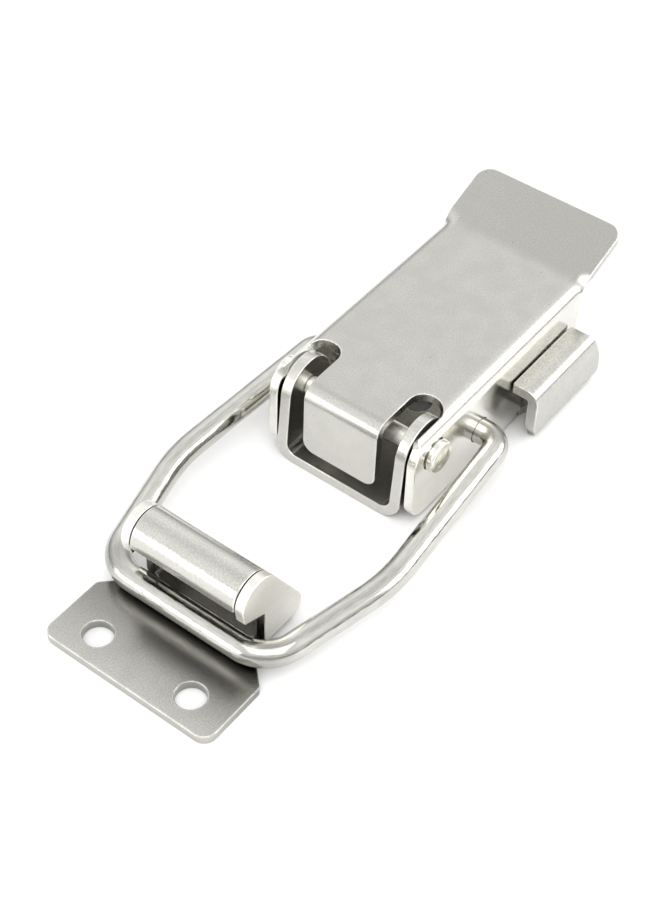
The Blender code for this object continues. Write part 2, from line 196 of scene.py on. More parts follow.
ROLL_STEP = 0.8         # length over which it widens
SLIT_OUTER = 8.85       # a slit parts the ears' bends from the curl
CURL_BOTTOM = 11.5      # height of the curl's free edge

# ---- finish: grey and roughness; several greys hold painted light and shade ----
TOP_FINISH = (0.475, 0.28)
# the cheek's grey is painted lighter, standing in for light that its shaded floor doesn't give
CHEEK_FINISH_AND_PAINTED_LIGHT = (0.84, 0.18)
WALL_FINISH = (0.70, 0.16)
# the tongue's grey is painted lighter, standing in for light off the shaded floor in front of it
TONGUE_FINISH_AND_PAINTED_LIGHT = (0.58, 0.24)
FRAME_FINISH = (0.60, 0.24)
GUARD_FINISH = (0.50, 0.26)
PLATE_FINISH = (0.48, 0.24)
# the neck's grey is painted shade under the roll; its roughness is the steel's
NECK_FINISH_AND_PAINTED_SHADE = (0.12, 0.22)
ROLL_FINISH = (0.56, 0.17)
# the ears' grey is painted lighter, standing in for light that their shaded floor doesn't give
EAR_FINISH_AND_PAINTED_LIGHT = (0.80, 0.32)
RIVET_FINISH = (0.82, 0.18)
# the shank's grey is painted near white, standing in for light it lacks in the lever's slots
SHANK_FINISH_AND_PAINTED_LIGHT = (0.95, 0.38)
WIRE_FINISH = (0.55, 0.10)
WIRE_BEND_FINISH = (0.38, 0.22)
WIRE_DULLS = math.radians(30)   # turned this far from its straight runs, the wire is dullest

# ---- steel: stretch of its grain, heights of grit and waviness, brightness kept where shade is painted into hollows ----
LEVER_STEEL = ((1, 1, 1), 0.006, 0.03, 0.9)
FRAME_STEEL = ((1, 1, 1), 0.005, 0.03, 0.5)
KEEPER_STEEL = ((1, 1, 1), 0.02, 0.05, 0.1)
WIRE_STEEL = ((0.12, 1, 1), 0.022, 0.03, 1)
RIVET_STEEL = ((1, 0.2, 0.2), 0.003, 0.01, 1)
CUT_STEEL = ((3, 3, 0.2), 0.02, 0.01, 0.6)  # the sheared band around each sheet's edges
TINT = (1, 0.985, 0.92, 1)
GRIT_PER_MM = 4.0
CLOUDS_PER_MM = 0.3
WAVES_PER_MM = 0.12
SCRATCH_PER_MM = 0.8
SCRATCH_STRETCH = (0.08, 1.5, 1)
SCRATCH_TURN = 0.5      # radians between the scratches and X
SCRATCH_WIDTH = 0.006   # in steps of the noise, whose middle level is a scratch's line
SCRATCH_DEPTH = 0.1     # as a share of the grit's height
SCRATCH_ROUGHNESS = 0.02
PITS_PER_MM = 0.35
PIT_SIZE = 0.05         # as a share of the distance between pits
PIT_GREY = 0.55
WEAR_WIDTH = 0.4
WEAR = 0.9              # share of its grey that a fully worn rim takes from WORN_GREY
WORN_GREY = 0.95
WORN_POLISH = 0.04      # roughness that wear takes off
PAINTED_SHADE_REACH = 5.0            # shade is painted into hollows about this wide

# ---- ranges: the input at which each starts and ends, and its result there ----
SCRATCHED = (0.52, 0.62, 0, 1)
TURN_TO_WEAR = (0.99, 0.9, 0, 1)
CLOUDS_TO_WEAR = (0.35, 0.6, 0.4, 1)
CLOUDS_TO_TONE = (0.3, 0.7, 0.97, 1.02)
GRIT_TO_TONE = (0.3, 0.7, 0.91, 1.07)
CLOUDS_TO_ROUGHNESS = (0.3, 0.7, 1.1, 0.92)
# range of occlusion over which shade is painted into hollows
OCCLUSION_TO_PAINTED_SHADE = (0.05, 0.6)

# ---- studio, with the camera's places in millimetres ----
EYE = (-152.2, -103.5, 196.8)
AIM = (-3.9, 2.6, 5.0)
CAMERA_ROLL = 0.04      # radians
LENS = 96.9
SENSOR = 36
NEAREST = 0.01          # metres
FLOOR_REACH = 12.0      # metres
FLOOR_GREY = 0.9
FLOOR_ROUGHNESS = 0.9
TENT_BRIGHTNESS = 1.35
TENT = (                # height on the sky's sphere, and brightness there
    (0.0, 0.3), (0.12, 0.4), (0.4, 0.8), (0.62, 1.0), (0.8, 0.95), (1.0, 0.6),
)
SOFTBOXES = (           # name, azimuth, elevation, distance, size, brightness
    ("right_softbox", -50, 26, 0.6, (0.5, 0.3), 2.6),
    ("left_softbox", 151, 14, 0.6, (0.5, 0.24), 2.6),
    ("camera_softbox", 215, 64, 0.8, (0.7, 0.7), 1.9),
)


# ---------------------------------------------------------------- flat outlines

def arc(centre, radius, start, end):
    """Points along an arc, its angles in degrees."""
    steps = max(2, math.ceil(abs(end - start) / FINE))
    turns = [math.radians(start + (end - start) * i / steps) for i in range(steps + 1)]
    return [(centre[0] + radius * math.cos(t), centre[1] + radius * math.sin(t)) for t in turns]


def corner(before, point, after, radius):
    """A rounded corner between two straight runs, in two or three dimensions."""
    here = Vector(point)
    back = (Vector(before) - here).normalized()
    ahead = (Vector(after) - here).normalized()
    half = back.angle(ahead) / 2
    reach = radius / math.tan(half)
    centre = here + (back + ahead).normalized() * (radius / math.sin(half))
    start = here + back * reach - centre
    end = here + ahead * reach - centre
    sweep = math.pi - 2 * half
    steps = max(2, math.ceil(math.degrees(sweep) / FINE))
    points = []
    for i in range(steps + 1):
        t = i / steps
        blend = start * math.sin((1 - t) * sweep) + end * math.sin(t * sweep)
        points.append(tuple(centre + blend / math.sin(sweep)))
    return points


def rounded(corners, closed=True, size=2):
    """Turn places of two or three numbers and a radius into a path; one with no radius stays."""
    points = []
    last = len(corners) - 1
    for i, place in enumerate(corners):
        if len(place) == size or place[-1] == 0 or (not closed and i in (0, last)):
            points.append(tuple(place[:size]))
            continue
        before = corners[i - 1][:size]
        after = corners[(i + 1) % len(corners)][:size]
        points.extend(corner(before, place[:size], after, place[-1]))
    return points


def mirrored(half):
    """Close a half outline, given at positive v, with its mirror image."""
    return half + [(u, -v, *rest) for u, v, *rest in reversed(half)]


def circle(centre, radius):
    """A closed ring of points, the first of them not repeated."""
    return arc(centre, radius, 0, 360)[:-1]


def tangent_angle(point, centre, radius, side):
    """Direction from a circle's centre to where a line from a point touches it."""
    away = Vector(point) - Vector(centre)
    swing = math.acos(radius / away.length)
    return math.degrees(math.atan2(away.y, away.x) + side * swing)


def turned_left(points):
    """The same loop, running with its inside on the left."""
    area = sum(a[0] * b[1] - b[0] * a[1] for a, b in zip(points, points[1:] + points[:1]))
    return points if area > 0 else points[::-1]


def push_out(points, distance):
    """Move a loop's points to its right-hand side by a distance, with mitred corners."""
    count = len(points)
    moved = []
    for i, point in enumerate(points):
        here = Vector(point)
        arriving = (here - Vector(points[i - 1])).normalized()
        leaving = (Vector(points[(i + 1) % count]) - here).normalized()
        way = Vector((arriving.y + leaving.y, -arriving.x - leaving.x)).normalized()
        moved.append(here + way * distance / max(SHARPEST, way.dot((arriving.y, -arriving.x))))
    return moved


# ---------------------------------------------------------------- folds

class Bent:
    """A sheet's mid-surface seen from its edge: straight runs and bends, one after another.

    Runs are (length, turn in degrees, bend radius); the last one has no bend and goes on.
    """

    def __init__(self, start, heading, runs):
        self.pieces = []
        place, angle, distance = Vector(start), math.radians(heading), 0.0
        for length, turn, radius in runs:
            self.pieces.append((distance, place, angle, 0.0))
            place = place + length * Vector((math.cos(angle), math.sin(angle)))
            distance += length
            if turn:
                curve = math.copysign(1 / radius, turn)
                self.pieces.append((distance, place, angle, curve))
                distance += abs(math.radians(turn)) * radius
                place, angle = self.at(distance)
        self.length = distance

    def at(self, distance):
        """Place and heading (radians) at a distance along the mid-surface."""
        start, place, angle, curve = next(
            piece for piece in reversed(self.pieces) if piece[0] <= max(distance, 0))
        along = distance - start
        if curve == 0:
            return place + along * Vector((math.cos(angle), math.sin(angle))), angle
        turned = angle + along * curve
        chord = Vector((math.sin(turned) - math.sin(angle), math.cos(angle) - math.cos(turned)))
        return place + chord / curve, turned

    def reach(self, axis, value, low, high):
        """Distance between low and high at which one coordinate has a value."""
        rising = self.at(high)[0][axis] > self.at(low)[0][axis]
        for _ in range(HALVINGS):
            middle = (low + high) / 2
            if (self.at(middle)[0][axis] < value) == rising:
                low = middle
            else:
                high = middle
        return low

    def bend_marks(self):
        """Distances of the mesh lines that the bends need."""
        ends = [piece[0] for piece in self.pieces[1:]] + [self.length]
        marks = []
        for piece, end in zip(self.pieces, ends):
            if piece[3]:
                marks += np.linspace(piece[0], end, BEND_STEPS + 1).tolist()
        return marks


def across(u, bent, v):
    """Mid-surface place and directions where the sheet is folded along X, on either side."""
    side = math.copysign(1, v)
    (y, z), angle = bent.at(abs(v))
    along_v = Vector((0, math.cos(angle), side * math.sin(angle)))
    return Vector((u, side * y, z)), Vector((1, 0, 0)), along_v


def along(distance, bent, v, forward=1):
    """The same where the sheet is folded along Y; forward is -1 if distance runs against u."""
    (x, z), angle = bent.at(distance)
    along_u = forward * Vector((math.cos(angle), 0, math.sin(angle)))
    return Vector((x, v, z)), along_u, Vector((0, 1, 0))


# ---------------------------------------------------------------- meshes

def inside(points, loops):
    """Even-odd test of many points against several loops."""
    x, y = points[:, :1], points[:, 1:]
    count = np.zeros(len(points), int)
    for loop in loops:
        a = np.array([tuple(p) for p in loop])
        b = np.roll(a, -1, axis=0)
        crosses = (a[:, 1] > y) != (b[:, 1] > y)
        rise = np.where(b[:, 1] == a[:, 1], 1.0, b[:, 1] - a[:, 1])
        at = a[:, 0] + (y - a[:, 1]) / rise * (b[:, 0] - a[:, 0])
        count += (crosses & (x < at)).sum(axis=1)
    return count % 2 == 1


def flat_triangles(loops, cuts):
    """Triangles that fill an outline less its holes, with an edge along every cut."""
    places, edges = [], []
    for loop in loops:
        first = len(places)
        places += loop
        edges += [(first + i, first + (i + 1) % len(loop)) for i in range(len(loop))]
    for start, end in cuts:
        edges.append((len(places), len(places) + 1))
        places += [Vector(start), Vector(end)]
    points, _, faces, *_ = delaunay_2d_cdt([Vector(p) for p in places], edges, [], 0, MERGE)
    flat = np.array([tuple(p) for p in points])
    faces = np.array(faces)
    kept = faces[inside(flat[faces].mean(axis=1), loops)]
    used = np.unique(kept)
    renumber = {old: new for new, old in enumerate(used)}
    return [tuple(flat[i]) for i in used], [tuple(renumber[i] for i in face) for face in kept]


def rim_loops(faces):
    """Boundary loops of a triangle mesh, each with the material on its left."""
    ways = {(f[i], f[(i + 1) % 3]) for f in faces for i in range(3)}
    onward = {a: b for a, b in ways if (b, a) not in ways}
    loops = []
    while onward:
        loop = [min(onward)]
        while (following := onward.pop(loop[-1])) != loop[0]:
            loop.append(following)
        loops.append(loop)
    return loops


def new_object(name, places, faces, normals, marks, finishes, slots):
    """A smooth mesh with exact normals; marks are texture places, slots its faces' materials."""
    mesh = bpy.data.meshes.new(name)
    mesh.from_pydata([p * MM for p in places], [], faces)
    mesh.attributes.new("grain", "FLOAT_VECTOR", "POINT")
    mesh.attributes["grain"].data.foreach_set("vector", np.array(marks, np.float32).ravel())
    mesh.attributes.new("finish", "FLOAT2", "POINT")
    mesh.attributes["finish"].data.foreach_set("vector", np.array(finishes, np.float32).ravel())
    mesh.polygons.foreach_set("material_index", slots)
    mesh.shade_smooth()
    mesh.normals_split_custom_set_from_vertices([n.normalized() for n in normals])
    obj = bpy.data.objects.new(name, mesh)
    bpy.context.scene.collection.objects.link(obj)
    return obj


def between(first, second, part):
    """Two numbers part of the way from one pair to another."""
    part = min(1, max(0, part))
    return first[0] + (second[0] - first[0]) * part, first[1] + (second[1] - first[1]) * part


def fold_sheet(name, thickness, outline, holes, cuts, place, finish):
    """Cut a flat blank with rounded rims and fold it.

    place(u, v) is the folded mid-surface, and finish(u, v) its grey and roughness.
    """
    loops = [turned_left(outline)] + [turned_left(hole)[::-1] for hole in holes]
    flat, triangles = flat_triangles([push_out(loop, -RIM) for loop in loops], cuts)
    places, normals, marks, finishes, faces, slots = [], [], [], [], [], []

    def add(u, v, w, tilt=(0, 0), rise=1.0):
        middle, along_u, along_v = place(float(u), float(v))
        up = along_u.cross(along_v)
        places.append(middle + up * w)
        normals.append(along_u * tilt[0] + along_v * tilt[1] + up * rise)
        marks.append((u, v, w))
        finishes.append(finish(u, v))
        return len(places) - 1

    half = thickness / 2
    top = [add(u, v, half) for u, v in flat]
    bottom = [add(u, v, -half, rise=-1.0) for u, v in flat]
    faces += [tuple(top[i] for i in t) for t in triangles]
    faces += [tuple(bottom[i] for i in reversed(t)) for t in triangles]
    slots += [0] * len(faces)
    turns = [math.pi / 2 * k / RIM_STEPS for k in range(RIM_STEPS + 1)]
    profile = [(math.sin(t), 1, math.cos(t)) for t in turns]
    profile += [(math.sin(t), -1, -math.cos(t)) for t in reversed(turns)]
    for loop in rim_loops(triangles):
        edge = [Vector(flat[i]) for i in loop]
        outer = push_out(edge, 1.0)
        rings = [[top[i] for i in loop]]
        for out, side, lift in profile[1:-1]:
            height = side * (half - RIM) + RIM * lift
            ring = []
            for here, there in zip(edge, outer):
                way = (there - here) * RIM * out
                tilt = (there - here).normalized() * out
                ring.append(add(here.x + way.x, here.y + way.y, height, tilt, lift))
            rings.append(ring)
        rings.append([bottom[i] for i in loop])
        for k, (upper, lower) in enumerate(zip(rings, rings[1:])):
            for i in range(len(loop)):
                j = (i + 1) % len(loop)
                faces.append((upper[i], lower[i], lower[j], upper[j]))
                slots.append(1 if k == RIM_STEPS else 0)
    return new_object(name, places, faces, normals, marks, finishes, slots)


# ---------------------------------------------------------------- the frame

def frame_blank():
    """The frame's outline in the flat, and how it folds."""
    mid = FRAME_SHEET / 2
    flat = FRAME_HALF - FRAME_BEND
    ear = Bent((0, mid), 0, [(flat, 90, FRAME_BEND - mid), (LEVER_TOP, 0, 0)])
    floor = GUARD_OUTER - GUARD_BEND
    bend = GUARD_BEND - mid
    guard = Bent((0, mid), 0, [(floor, 90, bend), (GUARD_HEIGHT - 2 * GUARD_BEND, 90, bend),
                               (floor - GUARD_LIP, 0, 0)])

    def ear_v(z):
        return ear.reach(1, z, flat, ear.length)

    def guard_v(z):
        return guard.reach(1, z, floor, guard.length - (floor - GUARD_LIP))

    def ear_half():
        pivot = (0, ear_v(PIVOT_HEIGHT))
        foot = (EAR_REAR, ear_v(EAR_FOOT))
        first = tangent_angle((FRAME_FRONT, flat), pivot, EAR_TOP_RADIUS, -1) % 360
        last = tangent_angle(foot, pivot, EAR_TOP_RADIUS, 1)
        inner = flat - RELIEF_CORNER
        return [(FRAME_FRONT, flat)] + arc(pivot, EAR_TOP_RADIUS, first, last) + [
            (*foot, SMALL_CORNER), (EAR_REAR, inner, RELIEF_CORNER),
            (EAR_REAR + RELIEF_WIDTH, inner, RELIEF_CORNER),
            (EAR_REAR + RELIEF_WIDTH, FRAME_HALF, SMALL_CORNER)]

    left = ear_half() + [(FRAME_REAR, FRAME_HALF, BASE_CORNER)]
    lip = guard.length
    heel = arc((GUARD_HEEL_X, GUARD_HEEL), GUARD_HEEL, GUARD_HEEL_START, 0)
    heel = [(x, guard_v(z)) for x, z in heel]
    toe = arc((GUARD_FRONT + GUARD_CORNER, GUARD_CORNER), GUARD_CORNER, 180, GUARD_TOE_END)
    toe = [(x, guard_v(z)) for x, z in toe]
    notch = arc((GUARD_FLOOR_FRONT, GUARD_RELIEF_Y), GUARD_RELIEF, 90, -90)
    right = [
        (FRAME_REAR, FRAME_HALF - BASE_CORNER, SOFT_CORNER),
        (GUARD_FLOOR_REAR, FRAME_HALF, SOFT_CORNER),
        (GUARD_FLOOR_REAR, floor), *heel,
        (GUARD_REAR, guard_v(GUARD_BELLY), GUARD_BELLY_ROUND),
        (GUARD_TOP_REAR, lip - (floor - GUARD_LIP), GUARD_TOP_ROUND),
        (GUARD_TOP_REAR, lip, SMALL_CORNER),
        (GUARD_FRONT, lip, SMALL_CORNER), *toe, *notch,
        (GUARD_FLOOR_FRONT, FRAME_HALF, SMALL_CORNER),
    ]
    outline = left + [(u, -v, *rest) for u, v, *rest in right + ear_half()[::-1]]

    middle = EAR_REAR + RELIEF_WIDTH / 2
    cuts = [((FRAME_FRONT - PAST, side * v), (middle, side * v))
            for v in ear.bend_marks() for side in (-1, 1)]
    cuts += [((GUARD_FRONT - PAST, -v), (FRAME_REAR + PAST, -v)) for v in guard.bend_marks()]
    holes = [circle((x, 0), SCREW_HOLE) for x in FRAME_SCREWS]
    holes += [circle((0, side * ear_v(PIVOT_HEIGHT)), RIVET_RADIUS + HOLE_GAP) for side in (-1, 1)]

    base = Bent((0, mid), 0, [(floor, 0, 0)])

    def place(u, v):
        if u < middle:
            return across(u, ear, v)
        return across(u, guard if v < -floor else base, v)

    def finish(u, v):
        return GUARD_FINISH if u > middle and v < -floor else FRAME_FINISH

    return rounded(outline), holes, cuts, place, finish


# ---------------------------------------------------------------- the lever

def lever_blank():
    """The lever's outline in the flat, and how it folds."""
    mid = LEVER_SHEET / 2
    bend = LEVER_BEND - mid
    quarter = bend * math.pi / 2
    flat = LEVER_HALF - LEVER_BEND
    wall = Bent((0, LEVER_TOP - mid), 0, [(flat, -90, bend), (LEVER_TOP - LEVER_BEND, 0, 0)])
    tongue_bend = ROOT - TONGUE_FRONT - LEVER_BEND
    tongue = Bent((ROOT, LEVER_TOP - mid), 180,
                  [(tongue_bend, 90, bend), (LEVER_TOP - LEVER_BEND - TONGUE_BOTTOM, 0, 0)])
    fold = TAIL_FOLD + mid
    fold_reach = fold * math.tan(math.radians(TAIL_SLOPE / 2))
    start = TAIL_FOLD_X - fold_reach
    rise = (TAIL_END - TAIL_FOLD_X) / math.cos(math.radians(TAIL_SLOPE)) - fold_reach
    tail = Bent((ROOT, LEVER_TOP - mid), 0, [(start - ROOT, TAIL_SLOPE, fold), (rise, 0, 0)])

    def wall_v(z):
        return wall.reach(1, z, flat, wall.length)

    slot_outer = wall.reach(0, SLOT_OUTER, flat, flat + quarter)
    slot_round = (slot_outer - TONGUE_HALF) / 2 - SLACK
    shoulder = math.degrees(math.asin((wall.at(slot_outer)[0].y - PIVOT_HEIGHT) / NOSE_RADIUS))
    nose = [(x, wall_v(z)) for x, z in arc((0, PIVOT_HEIGHT), NOSE_RADIUS, 180 - shoulder, 180)]
    bottom, skirt = wall_v(CHEEK_BOTTOM), wall_v(SKIRT_BOTTOM)
    tip = ROOT - tongue.length
    end = ROOT + tail.length
    tail_half = LEVER_HALF - TAIL_INSET
    half = [
        (tip, TONGUE_HALF, TONGUE_CORNER), (SLOT_END, TONGUE_HALF, slot_round),
        (SLOT_END, slot_outer, slot_round), *nose, (-NOSE_RADIUS, bottom, CHEEK_CORNER),
        (CHEEK_END, bottom, STEP_CORNER), (SKIRT_STEP, skirt, STEP_CORNER),
        (WALL_REAR, skirt, WALL_CORNER), (WALL_REAR, tail_half, WALL_NOTCH),
        (end, tail_half, TAIL_CORNER),
    ]
    cuts = [((-NOSE_RADIUS - PAST, side * v), (FLARE_END, side * v))
            for v in wall.bend_marks() for side in (-1, 1)]
    in_slot = TONGUE_HALF + BESIDE
    wide = LEVER_HALF + PAST
    cuts += [((ROOT - d, -in_slot), (ROOT - d, in_slot)) for d in tongue.bend_marks()]
    cuts += [((ROOT + d, -wide), (ROOT + d, wide)) for d in tail.bend_marks()]
    cuts += [((u, -wide), (u, wide))
             for u in np.arange(WALL_REAR + FLARE_STEP, FLARE_END, FLARE_STEP)]
    holes = []
    for (x, z), radius in (((0, PIVOT_HEIGHT), RIVET_RADIUS), (HINGE, WIRE_RADIUS)):
        holes += [circle((x, side * wall_v(z)), radius + HOLE_GAP) for side in (-1, 1)]

    def opened(u):
        """How far a side bend has opened out at u, from 0 to 1."""
        part = min(1, max(0, (u - WALL_REAR) / (FLARE_END - WALL_REAR)))
        return part * part * (3 - 2 * part)

    def behind(u, v):
        """The top, its side bends and the tail, where they lie behind the root."""
        folded = across(u, wall, v)[0] - Vector((u, v, LEVER_TOP - mid))
        return along(u - ROOT, tail, v)[0] + folded * (1 - opened(u))

    def place(u, v):
        if u > start:
            along_u = behind(u + NUDGE, v) - behind(u - NUDGE, v)
            along_v = behind(u, v + NUDGE) - behind(u, v - NUDGE)
            return behind(u, v), along_u.normalized(), along_v.normalized()
        if u < 0 and abs(v) < in_slot:
            return along(ROOT - u, tongue, v, forward=-1)
        return across(u, wall, v)

    def finish(u, v):
        if u < 0 and abs(v) < in_slot:
            # painted light: the tongue grows lighter past its bend
            return between(TOP_FINISH, TONGUE_FINISH_AND_PAINTED_LIGHT, (ROOT - tongue_bend - u) / quarter)
        # painted light: the side is painted lighter towards the cheek at the front
        side = between(CHEEK_FINISH_AND_PAINTED_LIGHT, WALL_FINISH, u / CHEEK_END)
        folded = min(1, (abs(v) - flat) / quarter)
        return between(TOP_FINISH, side, folded * (1 - opened(u)))

    return rounded(mirrored(half)), holes, cuts, place, finish


# ---------------------------------------------------------------- the keeper

def keeper_blank():
    """The keeper's outline in the flat, and how it folds; u runs from its front edge."""
    mid = KEEPER_SHEET / 2
    flat = NECK_HALF - KEEPER_BEND
    ear = Bent((0, mid), 0, [(flat, 90, KEEPER_BEND - mid), (HOOK_CROWN[1] + HOOK_ROUND, 0, 0)])
    back = Vector(HOOK_CROWN) - Vector((HOOK_HEEL_X, HOOK_ROUND))
    lean = math.degrees(math.atan2(back.y, back.x))
    curl = Bent((ROOT + KEEPER_FRONT, mid), 0, [
        (HOOK_HEEL_X - ROOT, lean, HOOK_ROUND - mid), (back.length, 270 - lean, HOOK_ROUND - mid),
        (HOOK_CROWN[1] - CURL_BOTTOM, 0, 0)])

    def ear_v(z):
        return ear.reach(1, z, flat, ear.length)

    heel_start = math.degrees(math.asin(mid / HOOK_ROUND - 1)) + HEEL_SHORT
    hook = arc(HOOK_CROWN, HOOK_ROUND, 180, lean - 90)
    hook += arc((HOOK_HEEL_X, HOOK_ROUND), HOOK_ROUND, lean - 90, heel_start)
    hook = [(x, ear_v(z)) for x, z in hook]
    neck = KEEPER_PLATE + KEEPER_HALF - NECK_HALF
    relief = (MOUTH - NECK_END) / 2 - SLACK
    nose_x = HOOK_CROWN[0] - HOOK_ROUND + NOSE_BACK
    slot_end = flat - MOUTH_INSET
    roll_start = HOOK_HEEL_X + ROLL_START
    half = [
        (0, KEEPER_HALF, KEEPER_CORNER), (KEEPER_PLATE, KEEPER_HALF, SOFT_CORNER),
        (neck, NECK_HALF, NECK_CORNER), (NECK_END, NECK_HALF, MOUTH_CORNER),
        (NECK_END, slot_end, relief), (MOUTH, slot_end, relief),
        (MOUTH, ear_v(MOUTH_TOP), MOUTH_CORNER), (nose_x, ear_v(NOSE_BOTTOM), NOSE_ROUND), *hook,
        (hook[-1][0], SLIT_OUTER), (HOOK_HEEL_X, SLIT_OUTER), (HOOK_HEEL_X, CURL_HALF),
        (roll_start, CURL_HALF), (roll_start + ROLL_STEP, ROLL_HALF),
        (ROOT + curl.length, ROLL_HALF, SMALL_CORNER),
    ]
    slit = (SLIT_OUTER + CURL_HALF) / 2
    ear_start = ROLL_HALF + BESIDE
    middle = (MOUTH + NECK_END) / 2
    cuts = [((middle, side * v), (HOOK_HEEL_X + HOOK_ROUND + PAST, side * v))
            for v in ear.bend_marks() for side in (-1, 1)]
    for u in (ROOT + distance for distance in curl.bend_marks()):
        wide = slit if u < roll_start else ROLL_HALF + PAST
        cuts.append(((u, -wide), (u, wide)))
    holes = [circle((KEEPER_SCREW[0], side * KEEPER_SCREW[1]), SCREW_HOLE) for side in (-1, 1)]

    def place(u, v):
        bends = u > middle and abs(v) > (slit if u < roll_start else ear_start)
        if bends or abs(v) > KEEPER_HALF + PAST:
            return across(u + KEEPER_FRONT, ear, v)
        return along(u - ROOT, curl, v)

    def finish(u, v):
        if abs(v) > (KEEPER_HALF + PAST if u < MOUTH else ear_start):
            # painted light on the ears
            return EAR_FINISH_AND_PAINTED_LIGHT
        if u > HOOK_HEEL_X:
            return ROLL_FINISH
        # painted shade: the plate darkens towards the neck under the roll
        return between(PLATE_FINISH, NECK_FINISH_AND_PAINTED_SHADE, u / NECK_END)

    return rounded(mirrored(half)), holes, cuts, place, finish


# ---------------------------------------------------------------- round parts

def directions(points):
    """The way a route runs at each of its points."""
    befores = points[:1] + points[:-1]
    afters = points[1:] + points[-1:]
    return [(after - before).normalized() for before, after in zip(befores, afters)]


def tube(name, route, rings, sides):
    """Skin round rings along a route.

    Rings are (route index, advance, radius, slant, finish): a ring may stand a little ahead
    of its point, and its normals lean by slant, for rounded ends.
    """
    points = [Vector(p) for p in route]
    tangents = directions(points)
    across_way = tangents[0].orthogonal().normalized()
    sides_of = []
    for tangent in tangents:
        across_way = (across_way - tangent * across_way.dot(tangent)).normalized()
        sides_of.append(across_way)
    travelled = [0.0]
    for a, b in zip(points, points[1:]):
        travelled.append(travelled[-1] + (b - a).length)
    places, normals, marks, finishes, faces = [], [], [], [], []
    for index, advance, radius, slant, finish in rings:
        tangent, first = tangents[index], sides_of[index]
        second = tangent.cross(first)
        for k in range(sides):
            turn = 2 * math.pi * k / sides
            x, y = math.cos(turn), math.sin(turn)
            out = first * x + second * y
            places.append(points[index] + tangent * advance + out * radius)
            normals.append(out * math.cos(slant) + tangent * math.sin(slant))
            marks.append((travelled[index] + advance, radius * x, radius * y))
            finishes.append(finish)
    for ring in range(len(rings) - 1):
        base = ring * sides
        for k in range(sides):
            n = (k + 1) % sides
            faces.append((base + k, base + n, base + sides + n, base + sides + k))
    last = (len(rings) - 1) * sides
    faces += [tuple(reversed(range(sides))), tuple(range(last, last + sides))]
    return new_object(name, places, faces, normals, marks, finishes, [0] * len(faces))


def bail_route():
    """Points along the bail's centre line, from one end to the other."""
    start = Vector((HINGE[0], 0, HINGE[1]))
    end = Vector((BAIL_END[0], 0, BAIL_END[1]))
    kink = start + (end - start).normalized() * BAIL_KINK
    side = [(start, BAIL_TIP, 0), (start, BAIL_HINGE_HALF, HINGE_BEND),
            (kink, BAIL_KINK_HALF, KINK_BEND), (end, BAIL_END_HALF, END_BEND)]
    left = [(point.x, half, point.z, bend) for point, half, bend in side]
    right = [(x, -y, z, bend) for x, y, z, bend in reversed(left)]
    return rounded(left + right, closed=False, size=3)


def round_edge(radius, edge, steps):
    """(Inset along the axis, radius, slant) around a rounded edge, from the side to the end."""
    points = []
    for t in (math.pi / 2 * k / steps for k in range(steps + 1)):
        points.append((edge * (1 - math.sin(t)), radius - edge * (1 - math.cos(t)), t))
    return points


def make_wire():
    """The bail, with sawn ends that are slightly rounded."""
    route = [Vector(point) for point in bail_route()]
    ways = directions(route)
    last = len(route) - 1
    tip = round_edge(WIRE_RADIUS, TIP_ROUND, RIM_STEPS)
    rings = [(0, inset, radius, -slant, WIRE_FINISH) for inset, radius, slant in reversed(tip)]
    runs = [b - a for a, b in zip(route, route[1:]) if (b - a).length > WIRE_RADIUS]
    for i in range(1, last):
        turned = min(ways[i].angle(run) for run in runs)
        finish = between(WIRE_FINISH, WIRE_BEND_FINISH, turned / WIRE_DULLS)
        rings.append((i, 0.0, WIRE_RADIUS, 0.0, finish))
    rings += [(last, -inset, radius, slant, WIRE_FINISH) for inset, radius, slant in tip]
    return tube("bail_wire", route, rings, WIRE_SIDES)


def make_rivet():
    """Shank and two low heads, each with a rounded rim and a shallow dish."""
    route = [(0, y, PIVOT_HEIGHT) for y in (-RIVET_END, RIVET_END)]
    dish = ((DISH_DEPTH, DISH_FLOOR), (DISH_DEPTH, DISH_RADIUS), (0, DISH_RIM))
    head = [(inset, radius, math.pi / 2) for inset, radius in dish]
    head += reversed(round_edge(RIVET_HEAD, RIVET_EDGE, 2 * RIM_STEPS))
    seat = RIVET_END - RIVET_SEAT
    half = [(inset, radius, slant, RIVET_FINISH) for inset, radius, slant in head]
    # painted light: the shank is near white
    half += [(seat, RIVET_HEAD, 0.0, RIVET_FINISH), (seat, RIVET_RADIUS, 0.0, SHANK_FINISH_AND_PAINTED_LIGHT)]
    rings = [(0, inset, radius, -slant, finish) for inset, radius, slant, finish in half]
    rings += [(1, -inset, radius, slant, finish) for inset, radius, slant, finish in reversed(half)]
    return tube("rivet_turned", route, rings, WIRE_SIDES)


# ---------------------------------------------------------------- materials

